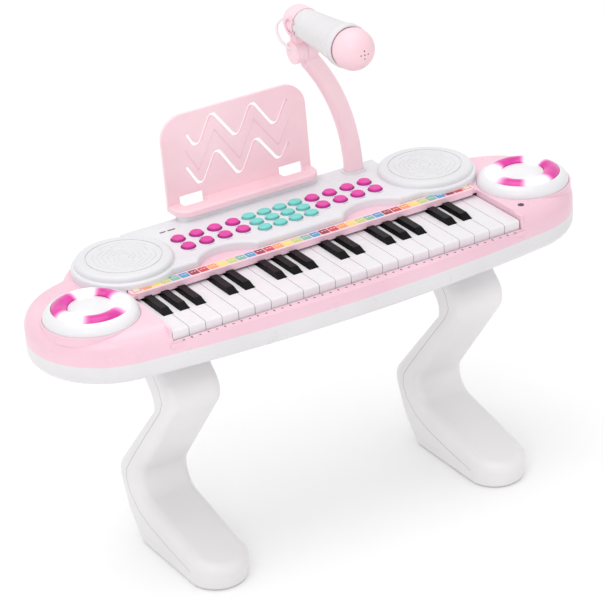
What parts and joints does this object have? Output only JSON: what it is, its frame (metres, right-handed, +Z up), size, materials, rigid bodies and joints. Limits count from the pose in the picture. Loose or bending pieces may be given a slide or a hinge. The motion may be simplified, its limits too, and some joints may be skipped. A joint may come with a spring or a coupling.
{
  "type": "toy electronic keyboard",
  "caption": "Toy electronic keyboard on two Z-shaped legs, with hinged keys, press buttons, round lamps, a music stand and a microphone on a curved arm.",
  "frame": {"origin": "on the floor under the middle of the whole object's bounding box", "axes": "+X to the player's right along the keys, -Y towards the player, +Z up"},
  "size_m": [0.614, 0.2298, 0.5035],
  "materials": {
    "pink_parts": "moulded pale pink plastic, soft gloss",
    "white_parts": "moulded white plastic, soft gloss",
    "white_keys": "white plastic, glossy",
    "black_keys": "black plastic, glossy",
    "magenta_buttons": "soft magenta rubber-like plastic",
    "turquoise_buttons": "soft turquoise rubber-like plastic",
    "lamp_rings": "translucent magenta plastic over lamps",
    "lead": "soft flexible lead",
    "boards": "green circuit board",
    "speaker_cones": "paper cone in a dark basket",
    "screws": "zinc plated"
  },
  "bodies": {
    "casing": {"upper_casing": "pink_parts", "lower_casing": "white_parts", "control_panel": "white_parts", "speaker_grilles": "white_parts", "note_strip": "pink_parts", "lamp_domes": "white_parts", "lamp_rings": "lamp_rings", "mic_arm": "pink_parts", "left_leg": "white_parts", "right_leg": "white_parts", "battery_door": "white_parts", "circuit_boards": "boards", "speakers": "speaker_cones", "casing_screws": "screws"},
    "white_key_01": {"white_key_01": "white_keys"},
    "white_key_02": {"white_key_02": "white_keys"},
    "white_key_03": {"white_key_03": "white_keys"},
    "white_key_04": {"white_key_04": "white_keys"},
    "white_key_05": {"white_key_05": "white_keys"},
    "white_key_06": {"white_key_06": "white_keys"},
    "white_key_07": {"white_key_07": "white_keys"},
    "white_key_08": {"white_key_08": "white_keys"},
    "white_key_09": {"white_key_09": "white_keys"},
    "white_key_10": {"white_key_10": "white_keys"},
    "white_key_11": {"white_key_11": "white_keys"},
    "white_key_12": {"white_key_12": "white_keys"},
    "white_key_13": {"white_key_13": "white_keys"},
    "white_key_14": {"white_key_14": "white_keys"},
    "white_key_15": {"white_key_15": "white_keys"},
    "white_key_16": {"white_key_16": "white_keys"},
    "white_key_17": {"white_key_17": "white_keys"},
    "white_key_18": {"white_key_18": "white_keys"},
    "white_key_19": {"white_key_19": "white_keys"},
    "white_key_20": {"white_key_20": "white_keys"},
    "white_key_21": {"white_key_21": "white_keys"},
    "white_key_22": {"white_key_22": "white_keys"},
    "black_key_01": {"black_key_01": "black_keys"},
    "black_key_02": {"black_key_02": "black_keys"},
    "black_key_03": {"black_key_03": "black_keys"},
    "black_key_04": {"black_key_04": "black_keys"},
    "black_key_05": {"black_key_05": "black_keys"},
    "black_key_06": {"black_key_06": "black_keys"},
    "black_key_07": {"black_key_07": "black_keys"},
    "black_key_08": {"black_key_08": "black_keys"},
    "black_key_09": {"black_key_09": "black_keys"},
    "black_key_10": {"black_key_10": "black_keys"},
    "black_key_11": {"black_key_11": "black_keys"},
    "black_key_12": {"black_key_12": "black_keys"},
    "black_key_13": {"black_key_13": "black_keys"},
    "black_key_14": {"black_key_14": "black_keys"},
    "black_key_15": {"black_key_15": "black_keys"},
    "left_buttons": {"left_buttons": "magenta_buttons"},
    "center_buttons": {"center_buttons": "turquoise_buttons"},
    "right_buttons": {"right_buttons": "magenta_buttons"},
    "power_switch": {"power_switch": "white_parts"},
    "music_stand": {"music_stand": "pink_parts"},
    "microphone": {"mic_cradle": "pink_parts", "mic_handle": "white_parts", "mic_head": "pink_parts", "mic_cord": "lead"}
  },
  "joints": [
    {"name": "mic_tilt", "type": "hinge", "parent": "casing", "child": "microphone", "pos_m": [0.066, 0.089, 0.449], "axis": [1, 0, 0], "range_deg": [-20, 20]},
    {"name": "music_stand_lift", "type": "slide", "parent": "casing", "child": "music_stand", "axis": [0, 0, 1], "range_m": [0, 0.012]},
    {"name": "center_buttons_press", "type": "slide", "parent": "casing", "child": "center_buttons", "axis": [0, 0, -1], "range_m": [0, 0.0015], "stiffness_N_per_m": 600, "springref_m": -0.0008},
    {"name": "left_buttons_press", "type": "slide", "parent": "casing", "child": "left_buttons", "axis": [0, 0, -1], "range_m": [0, 0.0015], "stiffness_N_per_m": 600, "springref_m": -0.0008},
    {"name": "right_buttons_press", "type": "slide", "parent": "casing", "child": "right_buttons", "axis": [0, 0, -1], "range_m": [0, 0.0015], "stiffness_N_per_m": 600, "springref_m": -0.0008},
    {"name": "power_switch_slide", "type": "slide", "parent": "casing", "child": "power_switch", "axis": [1, 0, 0], "range_m": [0, 0.006]},
    {"name": "white_key_01_press", "type": "hinge", "parent": "casing", "child": "white_key_01", "pos_m": [0, 0.005, 0.281], "axis": [1, 0, 0], "range_deg": [0, 2.2], "stiffness_Nm_per_rad": 2, "springref_deg": -3.44},
    {"name": "white_key_02_press", "type": "hinge", "parent": "casing", "child": "white_key_02", "pos_m": [0, 0.005, 0.281], "axis": [1, 0, 0], "range_deg": [0, 2.2], "stiffness_Nm_per_rad": 2, "springref_deg": -3.44},
    {"name": "white_key_03_press", "type": "hinge", "parent": "casing", "child": "white_key_03", "pos_m": [0, 0.005, 0.281], "axis": [1, 0, 0], "range_deg": [0, 2.2], "stiffness_Nm_per_rad": 2, "springref_deg": -3.44},
    {"name": "white_key_04_press", "type": "hinge", "parent": "casing", "child": "white_key_04", "pos_m": [0, 0.005, 0.281], "axis": [1, 0, 0], "range_deg": [0, 2.2], "stiffness_Nm_per_rad": 2, "springref_deg": -3.44},
    {"name": "white_key_05_press", "type": "hinge", "parent": "casing", "child": "white_key_05", "pos_m": [0, 0.005, 0.281], "axis": [1, 0, 0], "range_deg": [0, 2.2], "stiffness_Nm_per_rad": 2, "springref_deg": -3.44},
    {"name": "white_key_06_press", "type": "hinge", "parent": "casing", "child": "white_key_06", "pos_m": [0, 0.005, 0.281], "axis": [1, 0, 0], "range_deg": [0, 2.2], "stiffness_Nm_per_rad": 2, "springref_deg": -3.44},
    {"name": "white_key_07_press", "type": "hinge", "parent": "casing", "child": "white_key_07", "pos_m": [0, 0.005, 0.281], "axis": [1, 0, 0], "range_deg": [0, 2.2], "stiffness_Nm_per_rad": 2, "springref_deg": -3.44},
    {"name": "white_key_08_press", "type": "hinge", "parent": "casing", "child": "white_key_08", "pos_m": [0, 0.005, 0.281], "axis": [1, 0, 0], "range_deg": [0, 2.2], "stiffness_Nm_per_rad": 2, "springref_deg": -3.44},
    {"name": "white_key_09_press", "type": "hinge", "parent": "casing", "child": "white_key_09", "pos_m": [0, 0.005, 0.281], "axis": [1, 0, 0], "range_deg": [0, 2.2], "stiffness_Nm_per_rad": 2, "springref_deg": -3.44},
    {"name": "white_key_10_press", "type": "hinge", "parent": "casing", "child": "white_key_10", "pos_m": [0, 0.005, 0.281], "axis": [1, 0, 0], "range_deg": [0, 2.2], "stiffness_Nm_per_rad": 2, "springref_deg": -3.44},
    {"name": "white_key_11_press", "type": "hinge", "parent": "casing", "child": "white_key_11", "pos_m": [0, 0.005, 0.281], "axis": [1, 0, 0], "range_deg": [0, 2.2], "stiffness_Nm_per_rad": 2, "springref_deg": -3.44},
    {"name": "white_key_12_press", "type": "hinge", "parent": "casing", "child": "white_key_12", "pos_m": [0, 0.005, 0.281], "axis": [1, 0, 0], "range_deg": [0, 2.2], "stiffness_Nm_per_rad": 2, "springref_deg": -3.44},
    {"name": "white_key_13_press", "type": "hinge", "parent": "casing", "child": "white_key_13", "pos_m": [0, 0.005, 0.281], "axis": [1, 0, 0], "range_deg": [0, 2.2], "stiffness_Nm_per_rad": 2, "springref_deg": -3.44},
    {"name": "white_key_14_press", "type": "hinge", "parent": "casing", "child": "white_key_14", "pos_m": [0, 0.005, 0.281], "axis": [1, 0, 0], "range_deg": [0, 2.2], "stiffness_Nm_per_rad": 2, "springref_deg": -3.44},
    {"name": "white_key_15_press", "type": "hinge", "parent": "casing", "child": "white_key_15", "pos_m": [0, 0.005, 0.281], "axis": [1, 0, 0], "range_deg": [0, 2.2], "stiffness_Nm_per_rad": 2, "springref_deg": -3.44},
    {"name": "white_key_16_press", "type": "hinge", "parent": "casing", "child": "white_key_16", "pos_m": [0, 0.005, 0.281], "axis": [1, 0, 0], "range_deg": [0, 2.2], "stiffness_Nm_per_rad": 2, "springref_deg": -3.44},
    {"name": "white_key_17_press", "type": "hinge", "parent": "casing", "child": "white_key_17", "pos_m": [0, 0.005, 0.281], "axis": [1, 0, 0], "range_deg": [0, 2.2], "stiffness_Nm_per_rad": 2, "springref_deg": -3.44},
    {"name": "white_key_18_press", "type": "hinge", "parent": "casing", "child": "white_key_18", "pos_m": [0, 0.005, 0.281], "axis": [1, 0, 0], "range_deg": [0, 2.2], "stiffness_Nm_per_rad": 2, "springref_deg": -3.44},
    {"name": "white_key_19_press", "type": "hinge", "parent": "casing", "child": "white_key_19", "pos_m": [0, 0.005, 0.281], "axis": [1, 0, 0], "range_deg": [0, 2.2], "stiffness_Nm_per_rad": 2, "springref_deg": -3.44},
    {"name": "white_key_20_press", "type": "hinge", "parent": "casing", "child": "white_key_20", "pos_m": [0, 0.005, 0.281], "axis": [1, 0, 0], "range_deg": [0, 2.2], "stiffness_Nm_per_rad": 2, "springref_deg": -3.44},
    {"name": "white_key_21_press", "type": "hinge", "parent": "casing", "child": "white_key_21", "pos_m": [0, 0.005, 0.281], "axis": [1, 0, 0], "range_deg": [0, 2.2], "stiffness_Nm_per_rad": 2, "springref_deg": -3.44},
    {"name": "white_key_22_press", "type": "hinge", "parent": "casing", "child": "white_key_22", "pos_m": [0, 0.005, 0.281], "axis": [1, 0, 0], "range_deg": [0, 2.2], "stiffness_Nm_per_rad": 2, "springref_deg": -3.44},
    {"name": "black_key_01_press", "type": "hinge", "parent": "casing", "child": "black_key_01", "pos_m": [0, 0.005, 0.281], "axis": [1, 0, 0], "range_deg": [0, 2.2], "stiffness_Nm_per_rad": 2, "springref_deg": -3.44},
    {"name": "black_key_02_press", "type": "hinge", "parent": "casing", "child": "black_key_02", "pos_m": [0, 0.005, 0.281], "axis": [1, 0, 0], "range_deg": [0, 2.2], "stiffness_Nm_per_rad": 2, "springref_deg": -3.44},
    {"name": "black_key_03_press", "type": "hinge", "parent": "casing", "child": "black_key_03", "pos_m": [0, 0.005, 0.281], "axis": [1, 0, 0], "range_deg": [0, 2.2], "stiffness_Nm_per_rad": 2, "springref_deg": -3.44},
    {"name": "black_key_04_press", "type": "hinge", "parent": "casing", "child": "black_key_04", "pos_m": [0, 0.005, 0.281], "axis": [1, 0, 0], "range_deg": [0, 2.2], "stiffness_Nm_per_rad": 2, "springref_deg": -3.44},
    {"name": "black_key_05_press", "type": "hinge", "parent": "casing", "child": "black_key_05", "pos_m": [0, 0.005, 0.281], "axis": [1, 0, 0], "range_deg": [0, 2.2], "stiffness_Nm_per_rad": 2, "springref_deg": -3.44},
    {"name": "black_key_06_press", "type": "hinge", "parent": "casing", "child": "black_key_06", "pos_m": [0, 0.005, 0.281], "axis": [1, 0, 0], "range_deg": [0, 2.2], "stiffness_Nm_per_rad": 2, "springref_deg": -3.44},
    {"name": "black_key_07_press", "type": "hinge", "parent": "casing", "child": "black_key_07", "pos_m": [0, 0.005, 0.281], "axis": [1, 0, 0], "range_deg": [0, 2.2], "stiffness_Nm_per_rad": 2, "springref_deg": -3.44},
    {"name": "black_key_08_press", "type": "hinge", "parent": "casing", "child": "black_key_08", "pos_m": [0, 0.005, 0.281], "axis": [1, 0, 0], "range_deg": [0, 2.2], "stiffness_Nm_per_rad": 2, "springref_deg": -3.44},
    {"name": "black_key_09_press", "type": "hinge", "parent": "casing", "child": "black_key_09", "pos_m": [0, 0.005, 0.281], "axis": [1, 0, 0], "range_deg": [0, 2.2], "stiffness_Nm_per_rad": 2, "springref_deg": -3.44},
    {"name": "black_key_10_press", "type": "hinge", "parent": "casing", "child": "black_key_10", "pos_m": [0, 0.005, 0.281], "axis": [1, 0, 0], "range_deg": [0, 2.2], "stiffness_Nm_per_rad": 2, "springref_deg": -3.44},
    {"name": "black_key_11_press", "type": "hinge", "parent": "casing", "child": "black_key_11", "pos_m": [0, 0.005, 0.281], "axis": [1, 0, 0], "range_deg": [0, 2.2], "stiffness_Nm_per_rad": 2, "springref_deg": -3.44},
    {"name": "black_key_12_press", "type": "hinge", "parent": "casing", "child": "black_key_12", "pos_m": [0, 0.005, 0.281], "axis": [1, 0, 0], "range_deg": [0, 2.2], "stiffness_Nm_per_rad": 2, "springref_deg": -3.44},
    {"name": "black_key_13_press", "type": "hinge", "parent": "casing", "child": "black_key_13", "pos_m": [0, 0.005, 0.281], "axis": [1, 0, 0], "range_deg": [0, 2.2], "stiffness_Nm_per_rad": 2, "springref_deg": -3.44},
    {"name": "black_key_14_press", "type": "hinge", "parent": "casing", "child": "black_key_14", "pos_m": [0, 0.005, 0.281], "axis": [1, 0, 0], "range_deg": [0, 2.2], "stiffness_Nm_per_rad": 2, "springref_deg": -3.44},
    {"name": "black_key_15_press", "type": "hinge", "parent": "casing", "child": "black_key_15", "pos_m": [0, 0.005, 0.281], "axis": [1, 0, 0], "range_deg": [0, 2.2], "stiffness_Nm_per_rad": 2, "springref_deg": -3.44}
  ]
}
